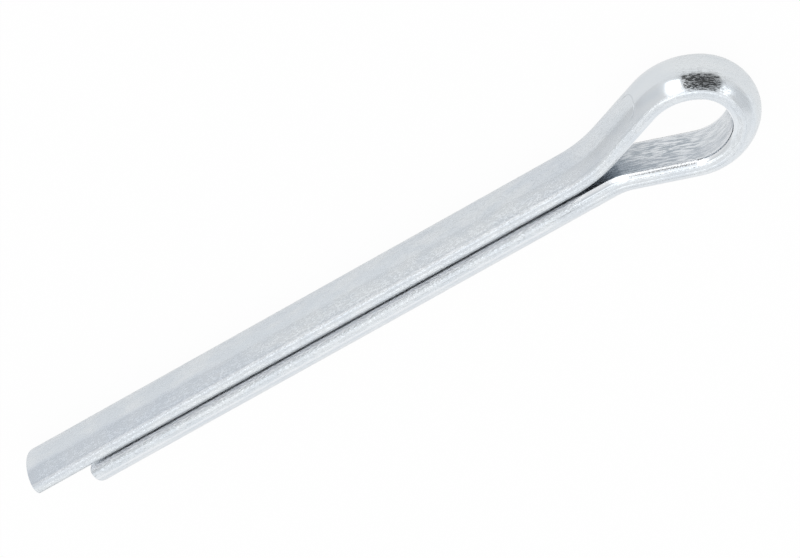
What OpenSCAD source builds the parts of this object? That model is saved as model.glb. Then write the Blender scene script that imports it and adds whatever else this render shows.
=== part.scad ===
// Split cotter pin, extended prong: one length of half-round steel wire, flat side in,
// folded back on itself into a teardrop eye and two legs that lie side by side.
// It lies on its side. X runs along the legs toward the eye, Y runs across the legs
// from the short one to the long one, and Z runs up across the wire's width.
// The origin is under the middle of the whole pin, on the surface that it lies on.

/* [Wire] */
// Width of the wire, across its flat
wire_w = 4.4; // [3.6:0.1:5.2]
// Thickness of the wire, from its flat to the top of its crown
wire_h = 2.2; // [1.8:0.05:2.6]
// Height of the side walls above the flat, up to where the crown starts
side_h = 0.92; // [0.7:0.01:1.2]
// Rounding of the two edges of the flat
edge_r = 0.48; // [0.1:0.02:0.6]

/* [Legs] */
// Straight length of the short leg, at mid width
short_leg = 46; // [25:0.5:100]
// How far the tip of the long leg stands out past the tip of the short one
prong_extension = 4.4; // [0:0.1:10]
// Space between the flats of the two legs
leg_gap = 0.26; // [0.1:0.02:0.8]
// Slant of the sheared tips, away from square to the wire
shear_slant = 6.4; // [0:0.2:15]

/* [Long side of the eye] */
// Radius of the flat where the long leg bends out into the eye
long_neck_r = 12.5; // [5:0.1:16]
// Angle that the long side flares out at
long_flare = 20; // [16:0.5:24]
// Length of the straight flank of the long side
long_flank = 4.7; // [2:0.1:7]
// Radius of the flat round the shoulder of the long side
long_shoulder_r = 4.05; // [2.5:0.05:6]
// Angle that the shoulder of the long side turns through
long_shoulder = 55; // [35:1:75]

/* [Short side of the eye] */
// Radius of the flat where the short leg bends out into the eye
short_neck_r = 5.6; // [4:0.1:12]
// Angle that the short side flares out at
short_flare = 20.5; // [16:0.5:24]
// Length of the straight flank of the short side
short_flank = 4.9; // [2:0.1:7]
// Radius of the flat round the shoulder of the short side
short_shoulder_r = 3.45; // [2.5:0.05:6]
// Angle that the shoulder of the short side turns through
short_shoulder = 64; // [35:1:75]

/* [Hidden] */
$fn = 96;

// Radius of the crown, which runs from one side wall over to the other
crown_rise = wire_h - side_h;
crown_r = (pow(wire_w / 2, 2) + pow(crown_rise, 2)) / (2 * crown_rise);

// Headings of the wire where the bend at the end of the eye starts and stops
end_in = long_flare - long_shoulder;
end_out = short_shoulder - short_flare - 180;
// Radius of that bend, which brings the short leg back beside the long one
end_r = (leg_gap + long_neck_r * (1 - cos(long_flare)) + long_flank * sin(long_flare)
    + long_shoulder_r * (cos(end_in) - cos(long_flare))
    + short_shoulder_r * (-cos(short_flare) - cos(end_out))
    + short_flank * sin(short_flare) + short_neck_r * (1 - cos(short_flare)))
    / (cos(end_in) - cos(end_out));

// The wire's path along its flat, from the neck of the long leg round to the short tip.
// Each stretch is a length with no turn, or a bend radius with its turn to the left.
PATH = [
    [long_neck_r, long_flare],
    [long_flank, 0],
    [long_shoulder_r, -long_shoulder],
    [end_r, end_out - end_in],
    [short_shoulder_r, -short_shoulder],
    [short_flank, 0],
    [short_neck_r, short_flare],
    [short_leg, 0]
];
LONG_NECK = 0;
LONG_FLANK = 1;
LONG_SHOULDER = 2;
EYE_END = 3;
SHORT_SHOULDER = 4;
SHORT_FLANK = 5;
SHORT_NECK = 6;
SHORT_LEG = 7;

// Unit vector along a heading, and the unit vector to its left
function ahead(h) = [cos(h), sin(h)];
function left(h) = [-sin(h), cos(h)];

// Heading and place of the wire where stretch i starts
function heading(i) = i == 0 ? 0 : heading(i - 1) + PATH[i - 1][1];
function place(i) = i == 0 ? [0, leg_gap / 2] : place_after(i - 1);

// Centre of bend i, and the place of the wire where stretch i stops
function centre(i) = place(i) + sign(PATH[i][1]) * PATH[i][0] * left(heading(i));
function place_after(i) = PATH[i][1] == 0
    ? place(i) + PATH[i][0] * ahead(heading(i))
    : centre(i) - sign(PATH[i][1]) * PATH[i][0] * left(heading(i + 1));

// Tips of the two legs, at mid width
short_tip = place_after(SHORT_LEG);
long_tip = [short_tip[0] - prong_extension, leg_gap / 2];

// Outermost reach of the wire: the long tip, the end of the eye and its two shoulders
tip_x = long_tip[0] - tan(shear_slant) * wire_w / 2;
eye_x = centre(EYE_END)[0] + end_r + wire_h;
long_y = centre(LONG_SHOULDER)[1] + long_shoulder_r + wire_h;
short_y = centre(SHORT_SHOULDER)[1] - short_shoulder_r - wire_h;
middle = [(tip_x + eye_x) / 2, (short_y + long_y) / 2];

// The necks and shoulders link the other stretches: each is a hair thinner than they
// are and reaches a little way into both, so that they all make one solid.
link_inset = 0.003;
link_reach = 0.05;

// Size of the block that shears a tip
shear_block = 3 * wire_w;

// Section of the wire: X is out from the flat, Y is up across the width
module section(inset = 0) {
    translate([0, wire_w / 2]) intersection() {
        translate([wire_h - crown_r, 0]) circle(r = crown_r - inset);
        union() {
            translate([edge_r, inset - wire_w / 2]) square([wire_h, wire_w - 2 * inset]);
            translate([inset, edge_r - wire_w / 2]) square([wire_h, wire_w - 2 * edge_r]);
            for (side = [-1, 1])
                translate([edge_r, side * (wire_w / 2 - edge_r)]) circle(r = edge_r - inset);
        }
    }
}

// Straight stretch of wire, from a place along a heading
module straight(from, h, length) {
    translate([from[0], from[1], 0]) rotate([90, 0, h + 90])
        linear_extrude(height = length) section();
}

// Bend i round the inside of the eye, with the flat on the inner side
module eye_bend(i, inset = 0, reach = 0) {
    more = reach / PATH[i][0] * 180 / PI;
    translate([centre(i)[0], centre(i)[1], 0])
        rotate_extrude(angle = 2 * more - PATH[i][1], start = heading(i + 1) + 90 - more)
            translate([PATH[i][0], 0]) section(inset);
}

// Bend i of a neck, with the flat on the outer side
module neck_bend(i, inset = 0, reach = 0) {
    more = reach / PATH[i][0] * 180 / PI;
    translate([centre(i)[0], centre(i)[1], 0])
        rotate_extrude(angle = 2 * more + PATH[i][1], start = heading(i) - 90 - more)
            translate([PATH[i][0], 0]) mirror([1, 0]) section(inset);
}

// Cuts its child off at a tip, on the side away from the eye
module sheared(tip) {
    difference() {
        children();
        translate([tip[0], tip[1], wire_w / 2]) rotate([0, -shear_slant, 0])
            translate([-shear_block, -shear_block / 2, -shear_block / 2]) cube(shear_block);
    }
}

module long_prong() {
    spare = [wire_w, 0];
    sheared(long_tip) straight(long_tip - spare, 0, norm(place(LONG_NECK) - long_tip + spare));
    neck_bend(LONG_NECK, link_inset, link_reach);
}

module short_prong() {
    sheared(short_tip) straight(place(SHORT_LEG), 180, short_leg + wire_w);
    neck_bend(SHORT_NECK, link_inset, link_reach);
}

module eye() {
    for (i = [LONG_FLANK, SHORT_FLANK]) straight(place(i), heading(i), PATH[i][0]);
    for (i = [LONG_SHOULDER, SHORT_SHOULDER]) eye_bend(i, link_inset, link_reach);
    eye_bend(EYE_END);
}

module cotter_pin() {
    color([0.80, 0.81, 0.83]) translate([-middle[0], -middle[1], 0]) {
        long_prong();
        eye();
        short_prong();
    }
}

cotter_pin();
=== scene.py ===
"""Split cotter pin of half-round zinc-plated steel wire, lying on its side on a pale floor."""
import math

import bmesh
import bpy
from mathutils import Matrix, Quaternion, Vector


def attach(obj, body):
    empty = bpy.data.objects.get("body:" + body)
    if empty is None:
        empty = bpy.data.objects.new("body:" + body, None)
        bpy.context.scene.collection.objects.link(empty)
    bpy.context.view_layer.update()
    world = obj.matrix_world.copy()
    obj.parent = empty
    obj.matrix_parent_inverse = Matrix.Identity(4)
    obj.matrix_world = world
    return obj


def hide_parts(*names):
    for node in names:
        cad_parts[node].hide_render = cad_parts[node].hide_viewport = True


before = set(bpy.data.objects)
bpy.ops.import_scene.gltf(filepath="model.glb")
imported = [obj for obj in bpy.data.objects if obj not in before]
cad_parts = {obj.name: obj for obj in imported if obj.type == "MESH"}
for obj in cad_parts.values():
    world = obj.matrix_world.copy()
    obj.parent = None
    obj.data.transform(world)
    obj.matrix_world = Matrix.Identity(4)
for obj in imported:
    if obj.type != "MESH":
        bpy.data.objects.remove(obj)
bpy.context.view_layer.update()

MM = 0.001

# The wire: half-round, flat side in
WIRE_WIDTH = 4.4 * MM
WIRE_HEIGHT = 2.2 * MM
SIDE_HEIGHT = 0.92 * MM
FLAT_EDGE_RADIUS = 0.48 * MM
CREASE_CUT = 0.16 * MM
CROWN_RISE = WIRE_HEIGHT - SIDE_HEIGHT
CROWN_RADIUS = ((WIRE_WIDTH / 2) ** 2 + CROWN_RISE ** 2) / (2 * CROWN_RISE)

# The legs and their sheared tips
LEG_GAP = 0.26 * MM
PRONG_EXTENSION = 4.4 * MM
SHEAR_SLANT = math.radians(6.4)
TIP_ROUNDING = 0.14 * MM

# The wire's path: each stretch is its length with no turn, or the radius of the flat with
# its turn to the left in degrees
LONG_NECK = (12.5 * MM, 20.0)
LONG_FLANK = (4.7 * MM, 0.0)
LONG_SHOULDER = (4.05 * MM, -55.0)
SHORT_SHOULDER = (3.45 * MM, -64.0)
SHORT_FLANK = (4.9 * MM, 0.0)
SHORT_NECK = (5.6 * MM, 20.5)
SHORT_LEG = (46.0 * MM, 0.0)

# How finely the wire is made: rings every so many degrees or millimetres
RING_DEGREES = 2.5
RING_LENGTH = 1.5 * MM
FEWEST_RINGS = 4
# A tip is sheared in a stretch of wire with no ring in it
TIP_RUN = 1.0 * MM
# Steps round the crown, the flat's edges, the creases and the tips' rims, and cuts across the
# flat and the side walls
CROWN_STEPS = 160
EDGE_STEPS = 6
CREASE_STEPS = 5
TIP_STEPS = 3
FLAT_CUTS = 9
SIDE_CUTS = 2
SMOOTH_ANGLE = math.radians(30)
# Points closer than this are one point, and a place is on a plane when it is this near
MERGE_DISTANCE = 1e-7
NEAR = 1e-3 * MM


def ahead(heading):
    """Unit vector along a heading in degrees."""
    return Vector((math.cos(math.radians(heading)), math.sin(math.radians(heading)), 0))


def left(heading):
    """Unit vector to the left of a heading in degrees."""
    return ahead(heading + 90)


def walk(path):
    """Start, heading, centre and end of each stretch, from the neck of the long leg."""
    place, heading, steps = Vector((0, LEG_GAP / 2, 0)), 0.0, []
    for size, turn in path:
        side = math.copysign(size, turn)
        centre = place + side * left(heading)
        stop = centre - side * left(heading + turn) if turn else place + size * ahead(heading)
        steps.append({"size": size, "turn": turn, "start": place, "stop": stop,
                      "heading": heading, "centre": centre})
        place, heading = stop, heading + turn
    return steps


def end_bend():
    """The bend at the end of the eye: its radius brings the short leg back beside the long one."""
    first = LONG_NECK[1] + LONG_SHOULDER[1]
    last = -180 - SHORT_NECK[1] - SHORT_SHOULDER[1]
    long_rise = walk([LONG_NECK, LONG_FLANK, LONG_SHOULDER])[-1]["stop"].y
    short_rise = walk([SHORT_NECK, SHORT_FLANK, SHORT_SHOULDER])[-1]["stop"].y
    drop = math.cos(math.radians(first)) - math.cos(math.radians(last))
    return ((long_rise + short_rise) / drop, last - first)


PATH = [LONG_NECK, LONG_FLANK, LONG_SHOULDER, end_bend(), SHORT_SHOULDER, SHORT_FLANK, SHORT_NECK,
        SHORT_LEG]
STEPS = walk(PATH)

# The path starts at the neck, and the pin is moved so that its middle is over the origin
SHORT_TIP = STEPS[-1]["stop"]
LONG_TIP = Vector((SHORT_TIP.x - PRONG_EXTENSION, LEG_GAP / 2, 0))
EYE_X = STEPS[3]["centre"].x + STEPS[3]["size"] + WIRE_HEIGHT
TIP_X = LONG_TIP.x - math.tan(SHEAR_SLANT) * WIRE_WIDTH / 2
LONG_Y = STEPS[2]["centre"].y + LONG_SHOULDER[0] + WIRE_HEIGHT
SHORT_Y = STEPS[4]["centre"].y - SHORT_SHOULDER[0] - WIRE_HEIGHT
SHIFT = -Vector((TIP_X + EYE_X, SHORT_Y + LONG_Y, 0)) / 2


# ---- small helpers for edit mode ----
def start_edit(name, add, **settings):
    """Adds a primitive and goes into edit mode with nothing selected."""
    bpy.ops.object.select_all(action="DESELECT")
    add(**settings)
    piece = bpy.context.object
    piece.name = piece.data.name = name
    bpy.ops.object.mode_set(mode="EDIT")
    bpy.ops.mesh.select_all(action="DESELECT")
    return piece


def pick(piece, kind, test):
    """Selects the vertices, edges or faces that pass a test, and nothing else.

    The test is given the middle and the normal, or for an edge its middle and the edge.
    """
    bpy.ops.mesh.select_mode(type={"verts": "VERT", "edges": "EDGE", "faces": "FACE"}[kind])
    bpy.ops.mesh.select_all(action="DESELECT")
    mesh = bmesh.from_edit_mesh(piece.data)
    for part in getattr(mesh, kind):
        if kind == "verts":
            good = test(part.co, part.normal)
        elif kind == "edges":
            good = test((part.verts[0].co + part.verts[1].co) / 2, part)
        else:
            good = test(part.calc_center_median(), part.normal)
        if good:
            part.select_set(True)
    mesh.select_flush_mode()
    bmesh.update_edit_mesh(piece.data)


def sheared(piece, tip, test):
    """Shears off what passes the test beyond a tip, closes the cut and rounds its edge."""
    pick(piece, "faces", lambda middle, normal: test(middle))
    slope = Vector((-math.cos(SHEAR_SLANT), 0, -math.sin(SHEAR_SLANT)))
    middle = tip + Vector((0, 0, WIRE_WIDTH / 2))
    bpy.ops.mesh.bisect(plane_co=middle, plane_no=slope, use_fill=True, clear_outer=True,
                        threshold=MERGE_DISTANCE)

    def on_cut(co):
        return abs((co - middle).dot(slope)) < NEAR and abs(co.y - tip.y) < WIRE_WIDTH

    pick(piece, "edges", lambda spot, edge: all(on_cut(vertex.co) for vertex in edge.verts)
         and abs(spot.y) < WIRE_WIDTH and len(edge.link_faces) == 2)
    bpy.ops.mesh.bevel(offset=TIP_ROUNDING, segments=TIP_STEPS, clamp_overlap=False)


def section(begin):
    """The wire's outline, standing upright where the long leg begins, as a ring of edges."""
    flat = LEG_GAP / 2
    crease = flat + SIDE_HEIGHT
    crown_centre = flat + WIRE_HEIGHT - CROWN_RADIUS
    piece = start_edit("cotter_pin_wire", bpy.ops.mesh.primitive_circle_add,
                       vertices=CROWN_STEPS, radius=CROWN_RADIUS, fill_type="NGON",
                       location=(begin.x, crown_centre, WIRE_WIDTH / 2),
                       rotation=(0, math.pi / 2, 0))
    bpy.ops.object.mode_set(mode="OBJECT")
    bpy.ops.object.transform_apply(location=True, rotation=True, scale=True)
    bpy.ops.object.mode_set(mode="EDIT")

    def on_side(co):
        return abs(abs(co.z - WIRE_WIDTH / 2) - WIRE_WIDTH / 2) < NEAR

    # the two side walls and the flat are cut off the circle
    for place, normal in (((0, 0, 0), (0, 0, -1)), ((0, 0, WIRE_WIDTH), (0, 0, 1)),
                          ((0, flat, 0), (0, -1, 0))):
        bpy.ops.mesh.select_all(action="SELECT")
        bpy.ops.mesh.bisect(plane_co=place, plane_no=normal, clear_outer=True,
                            threshold=MERGE_DISTANCE)
    pick(piece, "verts", lambda co, _: on_side(co) and abs(co.y - flat) < NEAR)
    bpy.ops.mesh.bevel(offset=FLAT_EDGE_RADIUS, segments=EDGE_STEPS, affect="VERTICES")
    pick(piece, "verts", lambda co, _: NEAR < co.y - crease < CREASE_CUT)
    bpy.ops.mesh.dissolve_verts()
    pick(piece, "verts", lambda co, _: on_side(co) and abs(co.y - crease) < NEAR)
    bpy.ops.mesh.bevel(offset=CREASE_CUT, segments=CREASE_STEPS, affect="VERTICES")
    bpy.ops.mesh.select_mode(type="FACE")
    bpy.ops.mesh.select_all(action="SELECT")
    bpy.ops.mesh.delete(type="ONLY_FACE")
    pick(piece, "edges", lambda spot, _: abs(spot.y - flat) < NEAR)
    bpy.ops.mesh.subdivide(number_cuts=FLAT_CUTS)
    pick(piece, "edges", lambda spot, _: on_side(spot))
    bpy.ops.mesh.subdivide(number_cuts=SIDE_CUTS)
    bpy.ops.mesh.select_mode(type="EDGE")
    bpy.ops.mesh.select_all(action="SELECT")
    return piece


def run(length, direction, count=None):
    """Draws the selected ring out straight, in even steps."""
    count = count or max(1, round(length / RING_LENGTH))
    for _ in range(count):
        bpy.ops.mesh.extrude_edges_move(
            TRANSFORM_OT_translate={"value": direction * (length / count)})


def wire():
    """The pin's one length of wire: the outline is drawn along the path, then sheared."""
    spare = WIRE_WIDTH
    begin = LONG_TIP - Vector((spare, 0, 0))
    piece = section(begin)
    run(LONG_TIP.x + TIP_RUN - begin.x, ahead(0), 1)
    run(-LONG_TIP.x - TIP_RUN, ahead(0))
    for step in STEPS:
        if step["turn"]:
            count = max(FEWEST_RINGS, round(abs(step["turn"]) / RING_DEGREES))
            bpy.ops.mesh.spin(steps=count, angle=-math.radians(step["turn"]),
                              center=step["centre"], axis=(0, 0, 1))
        elif step is STEPS[-1]:
            run(step["size"] - TIP_RUN, ahead(step["heading"]))
            run(TIP_RUN + spare, ahead(step["heading"]), 1)
        else:
            run(step["size"], ahead(step["heading"]))
    bpy.ops.mesh.select_all(action="SELECT")
    bpy.ops.mesh.remove_doubles(threshold=MERGE_DISTANCE)
    bpy.ops.mesh.normals_make_consistent(inside=False)
    sheared(piece, LONG_TIP, lambda co: co.x < LONG_TIP.x + WIRE_WIDTH)
    sheared(piece, SHORT_TIP, lambda co: co.x < SHORT_TIP.x + WIRE_WIDTH and co.y < 0)
    bpy.ops.mesh.select_all(action="SELECT")
    bpy.ops.transform.translate(value=SHIFT)
    bpy.ops.mesh.normals_make_consistent(inside=False)
    bpy.ops.object.mode_set(mode="OBJECT")
    bpy.ops.object.shade_smooth_by_angle(angle=SMOOTH_ANGLE)
    lay_along(piece)
    return piece


def on_stretch(step, place):
    """How far a place is off one stretch of the path, how far along it, and how far out."""
    if step["turn"]:
        side = math.copysign(1, step["turn"])
        arm, first = (place - step["centre"]).xy, (step["start"] - step["centre"]).xy
        turned = side * math.atan2(first.cross(arm), first.dot(arm))
        along, length = turned * step["size"], math.radians(abs(step["turn"])) * step["size"]
        out = side * (step["size"] - arm.length)
    else:
        arm = (place - step["start"]).xy
        along, length = arm.dot(ahead(step["heading"]).xy), step["size"]
        out = arm.dot(left(step["heading"]).xy)
    return max(-along, along - length, 0) + max(-out, out - WIRE_HEIGHT, 0), along, out


def lay_along(piece):
    """Stores where each point is on the wire in mm: along it, out from its flat, and across."""
    long_leg = {"size": -LONG_TIP.x, "turn": 0, "start": LONG_TIP, "heading": 0}
    stretches, travelled, spots = [long_leg, *STEPS], [0], []
    for step in stretches:
        share = math.radians(abs(step["turn"])) if step["turn"] else 1
        travelled.append(travelled[-1] + step["size"] * share)
    for vertex in piece.data.vertices:
        place = vertex.co - SHIFT
        nearest = min(zip([on_stretch(step, place) for step in stretches], travelled))
        (_, along, out), start = nearest
        spots += [(start + along) / MM, out / MM, place.z / MM]
    layer = piece.data.attributes.new("wire_place", "FLOAT_VECTOR", "POINT")
    layer.data.foreach_set("vector", spots)


pin = wire()
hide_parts("cotter_pin")
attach(pin, "root")


# ---- materials ----
class Value:
    """A socket that carries a number, so that shader maths reads as a sum."""

    def __init__(self, graph, socket):
        self.graph, self.socket = graph, socket

    def maths(self, operation, *inputs):
        return self.graph.add("ShaderNodeMath", {"operation": operation}, dict(enumerate(inputs)))

    def __add__(self, other):
        return self.maths("ADD", self, other)

    def __radd__(self, other):
        return self.maths("ADD", other, self)

    def __sub__(self, other):
        return self.maths("SUBTRACT", self, other)

    def __rsub__(self, other):
        return self.maths("SUBTRACT", other, self)

    def __mul__(self, other):
        return self.maths("MULTIPLY", self, other)

    def __rmul__(self, other):
        return self.maths("MULTIPLY", other, self)


class Graph:
    """A node tree that is being wired up."""

    def __init__(self, owner):
        owner.use_nodes = True
        self.tree = owner.node_tree
        self.tree.nodes.clear()

    def add(self, kind, settings, sockets, out=0):
        """Adds a node: its settings first, then its sockets' values or links. Gives one output."""
        node = self.tree.nodes.new(kind)
        for name, value in settings.items():
            setattr(node, name, value)
        for key, value in sockets.items():
            if isinstance(value, Value):
                self.tree.links.new(value.socket, node.inputs[key])
            else:
                node.inputs[key].default_value = value
        return Value(self, node.outputs[out]) if node.outputs else None

    def ramp(self, value, low, high, to_low=0.0, to_high=1.0):
        """A smooth step from one value to another as an input crosses a range."""
        return self.add("ShaderNodeMapRange", {"interpolation_type": "SMOOTHSTEP"},
                        {0: value, 1: low, 2: high, 3: to_low, 4: to_high})

    def window(self, value, low, high, edge):
        """1 inside a range and 0 outside, with soft edges."""
        half = edge / 2
        return self.ramp(value - low, -half, half) * self.ramp(high - value, -half, half)

    def noise(self, place, stretch, detail=2.0, rough=0.5):
        """Noise on a place in mm that is stretched by a share for each axis."""
        spot = self.add("ShaderNodeVectorMath", {"operation": "MULTIPLY"}, {0: place, 1: stretch})
        return self.add("ShaderNodeTexNoise", {},
                        {"Vector": spot, "Scale": 1.0, "Detail": detail, "Roughness": rough})

    def split(self, vector):
        """The three numbers of a vector."""
        first = self.add("ShaderNodeSeparateXYZ", {}, {0: vector})
        return [Value(self, socket) for socket in first.socket.node.outputs]

    def mix(self, share, colour, other):
        """A share of the way from one colour to another."""
        return self.add("ShaderNodeMix", {"data_type": "RGBA"},
                        {0: share, 6: colour, 7: other}, out=2)


# ---- where things are on the wire, in mm: along it, out from its flat, and across it ----
EYE_START, EYE_END = 53.0, 78.0
HALF_WIDTH = WIRE_WIDTH / MM / 2
FLAT_HALF = (WIRE_WIDTH / 2 - FLAT_EDGE_RADIUS) / MM
# Stretches along it. The long leg ends at 48, the eye's top is at 60 and the short leg begins at 76
# painted shade lies in the split along this stretch
SPLIT_RUN = (5.5, 50)
# painted shade lies on the crown along this stretch
NECK_AND_FLANK = (45, 58)
STREAKED_RUN = (49, 82)
FAR_LIP_RUN = (50, 64)
# the painted highlight on the top of the eye's outer crown lies along this stretch
PAINTED_HIGHLIGHT_RUN = (51, 66)
POLISHED_RUN = (56.2, 59.5)
TOP_OF_EYE = (57.5, 62.5)
TURN_BACK_RUN = (63.5, 68.2)
SHORT_SHOULDER_RUN = (64.8, 68.5)
# painted shade lies on the flat along this stretch, near the crotch of the eye
PAINTED_SHADE_RUN = (72.5, 82)
# The dent is an arc round this place, open towards the tip
DENT_PLACE = (56.0, 3.1, 0.0)
DENT_RADII = (0.86, 0.96)
# One unit of relief, and how many units each mark is raised
RELIEF_UNIT = 0.014 * MM
DENT_RELIEF = -1.5
LIP_RELIEF = 7.5
FAR_LIP_RELIEF = 7.0
SPLIT_LIP_RELIEF = 3.0
GRIT_RELIEF = 4.0

# Tones of the plating, and of the painted highlights and painted shade laid on it
CLEAR_ZINC = (0.765, 0.80, 0.83, 1)
BLUE_ZINC = (0.71, 0.755, 0.80, 1)
# a painted highlight: the top of the eye's outer crown made lighter
PAINTED_HIGHLIGHT_ZINC = (0.86, 0.89, 0.90, 1)
FLAT_ZINC = (0.835, 0.865, 0.895, 1)
# rubbed edges of the flat, made lighter also as a painted highlight
RUBBED_AND_HIGHLIGHT_ZINC = (0.915, 0.935, 0.96, 1)
# painted highlights along the creases of the legs
PAINTED_CREASE_HIGHLIGHT = (0.92, 0.935, 0.96, 1)
RIDGE_OF_DRAW_LINE = (0.915, 0.945, 0.975, 1)
GROOVE_OF_DRAW_LINE = (0.40, 0.45, 0.50, 1)
GRAIN_GREY = (0.60, 0.64, 0.67, 1)
# painted shade on a band of the flat inside the eye
PAINTED_SHADE_STREAK = (0.50, 0.54, 0.60, 1)
# painted shade on the flat near the crotch of the eye
PAINTED_SHADE_FLAT = (0.40, 0.44, 0.48, 1)
# painted shade on the flat's rounded edges beside the gap between the legs
PAINTED_SHADE_EDGE = (0.50, 0.53, 0.55, 1)
# painted shade inside the split between the legs
PAINTED_SPLIT_SHADE = (0.42, 0.45, 0.47, 1)
# painted shade on the crown near the long leg's tip
PAINTED_TIP_SHADE = (0.56, 0.62, 0.71, 1)
# painted shade on the crown of the long neck and flank
PAINTED_NECK_SHADE = (0.54, 0.59, 0.68, 1)
# painted shade beside the creases
PAINTED_CREASE_SHADE = (0.52, 0.56, 0.62, 1)
DENT_GREY = (0.50, 0.54, 0.58, 1)


class Zones:
    """Shares from 0 to 1 that say how much a point of the wire belongs to each part of it."""

    def __init__(self, g):
        self.place = g.add("ShaderNodeAttribute", {"attribute_name": "wire_place"}, {},
                           out="Vector")
        along, out, across = self.along, self.out, self.across = g.split(self.place)
        off_middle = g.add("ShaderNodeMath", {"operation": "ABSOLUTE"}, {0: across - HALF_WIDTH})
        self.flat = g.ramp(out, 0.02, 0.10, 1.0, 0.0)
        self.side = g.ramp(out, 0.90, 1.00, 1.0, 0.0)
        self.in_eye = g.window(along, EYE_START, EYE_END, 2.0)
        self.off_eye = 1 - self.in_eye
        self.top_of_eye = g.window(along, *TOP_OF_EYE, 2)
        self.long_leg = g.ramp(along, 48, 52, 1.0, 0.0)
        self.short_leg = g.ramp(along, 79, 82)
        # rubbed edges of the flat, which also carry a painted highlight, and the inside of the
        # split, which carries painted shade
        self.worn_and_highlight = (g.ramp(off_middle, FLAT_HALF - 0.06, FLAT_HALF + 0.02)
                     * g.ramp(out, 0.10, 0.22, 1.0, 0.0))
        self.in_split = g.window(along, *SPLIT_RUN, 2) * g.window(out, 0.07, 0.33, 0.06)
        # a smoother place on the crown of the long shoulder, and the smooth rim of the eye
        self.polished = g.window(along, *POLISHED_RUN, 0.8) * g.ramp(out, 0.95, 1.1)
        self.calm = 1 - 0.85 * g.ramp(out, 0.32, 0.40, 1.0, 0.0) * self.in_eye
        # small lips along the flat's edges, which tilt its rounding towards the light
        low_down = g.ramp(out, 0.4, 0.6, 1.0, 0.0)
        turn_back = g.window(along, *TURN_BACK_RUN, 0.8)
        self.lip = (g.ramp(off_middle, FLAT_HALF + 0.09, FLAT_HALF + 0.32, 1.0, 0.0)
                    * low_down * self.in_eye * (1 - turn_back))
        self.far_lip = (g.ramp(off_middle, FLAT_HALF + 0.16, FLAT_HALF + 0.47, 1.0, 0.0)
                        * low_down * g.window(along, *FAR_LIP_RUN, 2))
        self.split_lip = (g.ramp(off_middle, FLAT_HALF - 0.02, FLAT_HALF + 0.22, 1.0, 0.0)
                          * g.ramp(along, 80, 84) * low_down)
        self.grit = (g.window(out, 0.05, 0.58, 0.10) * self.off_eye
                     + g.window(out, 0.38, 0.56, 0.08) * g.window(along, 68, 80, 3)
                     + g.window(out, 0.78, 1.04, 0.08)
                     * (0.3 + 0.8 * self.in_eye * (1 - self.top_of_eye)))
        spot = g.add("ShaderNodeCombineXYZ", {}, {0: along, 1: across})
        from_dent = g.add("ShaderNodeVectorMath", {"operation": "DISTANCE"},
                          {0: spot, 1: DENT_PLACE}, out="Value")
        self.dent = (g.window(from_dent, *DENT_RADII, 0.07) * g.ramp(along, 55.7, 56.1)
                     * g.ramp(out, 1.0, 1.2))


def zinc_tone(g, zone, grain, lines):
    """The plating's colour, with painted shade and highlights: each layer is laid over the ones
    before it by a share.
    """
    along, out, across, flat = zone.along, zone.out, zone.across, zone.flat
    cloud = g.noise(zone.place, (0.45, 1.1, 1.1), 3.0, 0.5)
    drawn = g.mix(g.ramp(lines, 0.41, 0.59), RIDGE_OF_DRAW_LINE, GROOVE_OF_DRAW_LINE)
    streaked = (g.window(along, *STREAKED_RUN, 3)
                * (0.9 - 0.45 * g.window(along, *SHORT_SHOULDER_RUN, 2))
                * (1 - 0.35 * g.ramp(across, 0.4, 1.4, 1.0, 0.0)))
    # most layers are lighter or darker stretches at listed places, and many are painted shade and
    # painted highlights
    layers = (
        # painted highlight: the top of the eye's outer crown is made lighter
        (g.window(along, *PAINTED_HIGHLIGHT_RUN, 4) * g.ramp(out, 1.5, 2.1) * 0.42, PAINTED_HIGHLIGHT_ZINC),
        (g.ramp(grain, 0.45, 0.70) * 0.10, GRAIN_GREY),
        (flat, FLAT_ZINC),
        (flat * streaked, drawn),
        # painted shade on a band of the flat inside the eye
        (flat * zone.in_eye * g.window(across, 2.6, 3.7, 0.6) * 0.30, PAINTED_SHADE_STREAK),
        # painted shade on the flat near the crotch of the eye
        (flat * g.window(along, *PAINTED_SHADE_RUN, 4) * 0.42, PAINTED_SHADE_FLAT),
        # the flat's rubbed edges, with a painted highlight laid on them
        (zone.worn_and_highlight * 0.9, RUBBED_AND_HIGHLIGHT_ZINC),
        # painted shade on the flat's rounded edges beside the gap between the legs
        (g.window(out, 0.12, 0.30, 0.08) * zone.off_eye * 0.45, PAINTED_SHADE_EDGE),
        # painted shade inside the split between the legs
        (zone.in_split * 0.55, PAINTED_SPLIT_SHADE),
        # painted shade on the crown near the long leg's tip
        (g.ramp(along, 12, 26, 0.36, 0) * g.ramp(across, 3.1, 3.5) * (1 - zone.side), PAINTED_TIP_SHADE),
        # painted shade on the crown of the long neck and flank
        (g.window(along, *NECK_AND_FLANK, 5) * g.ramp(out, 0.95, 1.3) * 0.12, PAINTED_NECK_SHADE),
        # painted shade on the crown beside the creases, outside the eye
        (g.window(out, 1.08, 1.22, 0.06) * zone.off_eye * 0.22, PAINTED_CREASE_SHADE),
        # painted highlights along the creases of the short and the long leg
        (g.window(out, 0.84, 1.00, 0.06) * zone.short_leg * 0.5, PAINTED_CREASE_HIGHLIGHT),
        (g.window(out, 0.98, 1.10, 0.05) * zone.long_leg * 0.4, PAINTED_CREASE_HIGHLIGHT),
        # painted shade on the long leg's side wall just below its crease
        (g.window(out, 0.74, 0.90, 0.06) * zone.long_leg * 0.25, PAINTED_CREASE_SHADE),
        (zone.dent * 0.35, DENT_GREY),
    )
    tone = g.mix(g.ramp(cloud, 0.36, 0.64), CLEAR_ZINC, BLUE_ZINC)
    for share, colour in layers:
        tone = g.mix(share, tone, colour)
    return tone


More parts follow.
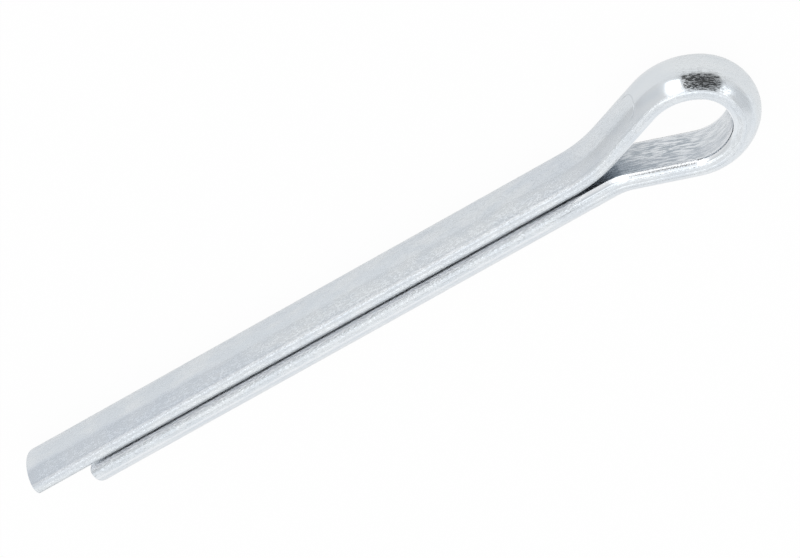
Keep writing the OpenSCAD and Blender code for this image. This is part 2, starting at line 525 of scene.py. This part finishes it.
def zinc():
    """Bright zinc over drawn steel: fine grain, draw lines along the wire, rougher on the flat."""
    material = bpy.data.materials.new("bright_zinc_plate")
    g = Graph(material)
    zone = Zones(g)
    grain = g.noise(zone.place, (8.0, 9.0, 9.0), 2.0, 0.6)
    lines = g.noise(zone.place, (0.9, 5.0, 5.0), 3.0, 0.65)
    worms = g.noise(zone.place, (3.4, 8.5, 8.5), 2.0, 0.6)
    sparks = g.noise(zone.place, (3.5, 13.0, 13.0), 1.0, 0.5)
    specks = g.ramp(g.noise(zone.place, (4.2, 11.0, 11.0), 2.0, 0.6), 0.46, 0.58)
    pits = g.ramp(worms, 0.47, 0.57)
    height = (zone.dent * DENT_RELIEF
              + grain * (0.15 - 0.1 * zone.polished + 0.8 * zone.side * zone.calm)
              + lines * 0.05
              + zone.lip * LIP_RELIEF + zone.far_lip * FAR_LIP_RELIEF
              + zone.split_lip * SPLIT_LIP_RELIEF
              + worms * (0.06 - 0.045 * zone.polished + 0.3 * zone.side * zone.calm)
              + sparks * (0.1 - 0.08 * zone.polished
                          + (GRIT_RELIEF - 1.4 * zone.in_eye) * zone.grit))
    bump = g.add("ShaderNodeBump", {},
                 {"Strength": 1.0, "Distance": RELIEF_UNIT, "Height": height})
    pitted = 0.25 * pits * zone.calm * (1 - zone.top_of_eye) + 0.25 * specks * zone.top_of_eye
    roughness = (0.12 + 0.12 * zone.flat + pitted * (1 - 0.85 * zone.polished)
                 + 0.36 * zone.worn_and_highlight * zone.off_eye)
    shader = g.add("ShaderNodeBsdfPrincipled", {}, {
        "Base Color": zinc_tone(g, zone, grain, lines), "Metallic": 1.0,
        "Roughness": roughness, "Normal": bump})
    g.add("ShaderNodeOutputMaterial", {}, {0: shader})
    return material


# ---- floor and studio ----
WHITE = (1, 1, 1, 1)
FLOOR_COLOUR = (0.95, 0.95, 0.95, 1)
FLOOR_SIZE = 6
# How bright the floor is in the metal: well out on the short leg's side, and elsewhere
FLOOR_IN_METAL = (1.04, 0.915)
SHARE_IN_METAL = 0.8
# The rest of the floor is left to show the pin's shadow
SHARE_WHITE = 0.965

OVERHEAD_LEVEL = 1.45
LEFT_BOX_LEVEL = 1.2
RIGHT_BOX_LEVEL = 0.9
UPPER_RIGHT_LEVEL = 0.35
# The share of the light that the room's dark opening swallows
OPENING_DARKNESS = 0.92
OPENING_MIDDLE = 45


def pale_floor():
    """White to the eye and in the metal, with the pin's soft shadow on it."""
    material = bpy.data.materials.new("pale_floor")
    g = Graph(material)
    matt = g.add("ShaderNodeBsdfDiffuse", {}, {0: FLOOR_COLOUR})
    white = g.add("ShaderNodeEmission", {}, {0: WHITE, 1: 1.0})
    _, y, _ = g.split(g.add("ShaderNodeTexCoord", {}, {}, out="Object"))
    pale = g.add("ShaderNodeEmission", {},
                 {0: WHITE, 1: g.ramp(y, -0.016, -0.006, *FLOOR_IN_METAL)})
    mirrored = g.add("ShaderNodeLightPath", {}, {}, out="Is Glossy Ray")
    seen = g.add("ShaderNodeLightPath", {}, {}, out="Is Camera Ray")
    body = g.add("ShaderNodeMixShader", {}, {0: mirrored * SHARE_IN_METAL, 1: matt, 2: pale})
    g.add("ShaderNodeOutputMaterial", {},
          {0: g.add("ShaderNodeMixShader", {}, {0: seen * SHARE_WHITE, 1: body, 2: white})})
    return material


def dark_opening(g, bearing, height):
    """The dark end of the room, highest in its middle. Its edges slant and are given one by one."""
    off = (bearing - OPENING_MIDDLE) * (1 / 25)
    return (g.ramp(76.5 + 0.035 * height - bearing, -0.8, 0.8)
            * g.ramp(bearing + 0.36 * height - 26.5, -2, 2) * g.ramp(bearing, 14, 17)
            * g.ramp(height, 0.5, 4.5) * g.ramp(60.3 - 3.2 * off * off - height, -1.2, 1.2))


def with_boxes(g, bearing, height, level):
    """The room's level with the two soft boxes and the lit corner on the right added."""
    left_box = (g.ramp(bearing - 0.06 * height, 76.5, 79.5)
                * g.ramp(bearing - 0.25 * height, 88, 95, 1.0, 0.0)
                * g.ramp(height + 0.35 * bearing, 39.5, 46) * g.ramp(height, 56, 64, 1.0, 0.0))
    right_box = g.window(bearing, -8, 12, 8) * g.window(height, 28, 50, 8)
    upper_right = g.window(bearing, -75, 0, 20) * g.window(height, 52, 74, 10)
    return (level + LEFT_BOX_LEVEL * left_box + RIGHT_BOX_LEVEL * right_box
            + UPPER_RIGHT_LEVEL * upper_right)


def walls(g, bearing, height):
    """The room's own level: a pale wall in front, and a brighter one behind."""
    front = g.window(bearing, -4, 104, 8)
    far_left = g.ramp(bearing, 122, 138)
    behind = 1 - g.window(bearing, -50, 160, 14)
    wall = (g.ramp(height, 0, 20, 0.79, 0.81) + 0.07 * front
            - far_left * g.ramp(height, 0, 40, 0.08, 0.0) - 0.05 * g.window(bearing, -55, -6, 12))
    back_wall = g.ramp(height, 0, 40, 0.93, 1.05) - 0.18 * g.ramp(height, 47, 52)
    return wall + (back_wall - wall) * behind


def studio():
    """Soft light from all round, with more overhead. Bearings and heights are in degrees."""
    world = bpy.data.worlds.new("studio")
    bpy.context.scene.world = world
    g = Graph(world)
    x, y, z = g.split(g.add("ShaderNodeTexCoord", {}, {}, out="Generated"))
    degrees = 180 / math.pi
    bearing = g.add("ShaderNodeMath", {"operation": "ARCTAN2"}, {0: y, 1: x}) * degrees
    height = g.add("ShaderNodeMath", {"operation": "ARCSINE"}, {0: z}) * degrees
    level = walls(g, bearing, height)
    overhead = g.ramp(height, 63, 68) * g.ramp(x, -0.06, 0.10, 1.0, 0.0)
    level = level + (OVERHEAD_LEVEL - level) * overhead
    light = (with_boxes(g, bearing, height, level)
             * (1 - OPENING_DARKNESS * dark_opening(g, bearing, height)))
    room = g.add("ShaderNodeBackground", {}, {0: WHITE, 1: light})
    white = g.add("ShaderNodeBackground", {}, {0: WHITE, 1: 1.0})
    seen = g.add("ShaderNodeLightPath", {}, {}, out="Is Camera Ray")
    g.add("ShaderNodeOutputWorld", {},
          {0: g.add("ShaderNodeMixShader", {}, {0: seen, 1: room, 2: white})})


def floor():
    """The plain pale floor that the pin lies on."""
    bpy.ops.object.select_all(action="DESELECT")
    bpy.ops.mesh.primitive_plane_add(size=FLOOR_SIZE, location=(0, 0, 0))
    ground = bpy.context.object
    ground.name = "floor"
    ground.data.materials.append(pale_floor())


# ---- camera ----
AIM = Vector((0.915, -0.098, 2.2)) * MM
DISTANCE = 537.27 * MM
AZIMUTH = math.radians(55.54)
ELEVATION = math.radians(53.98)
ROLL = math.radians(179.90)
FOCAL_LENGTH = 328.11


def camera():
    back = Vector((math.cos(ELEVATION) * math.cos(AZIMUTH), math.cos(ELEVATION) * math.sin(AZIMUTH),
                   math.sin(ELEVATION)))
    bpy.ops.object.camera_add(location=AIM + DISTANCE * back)
    eye = bpy.context.object
    eye.rotation_mode = "QUATERNION"
    eye.rotation_quaternion = back.to_track_quat("Z", "Y") @ Quaternion((0, 0, 1), ROLL)
    eye.data.lens = FOCAL_LENGTH
    eye.data.clip_start = 0.01
    eye.data.clip_end = 10
    bpy.context.scene.camera = eye


pin.data.materials.append(zinc())
floor()
studio()
camera()
bpy.context.scene.view_settings.view_transform = "Standard"
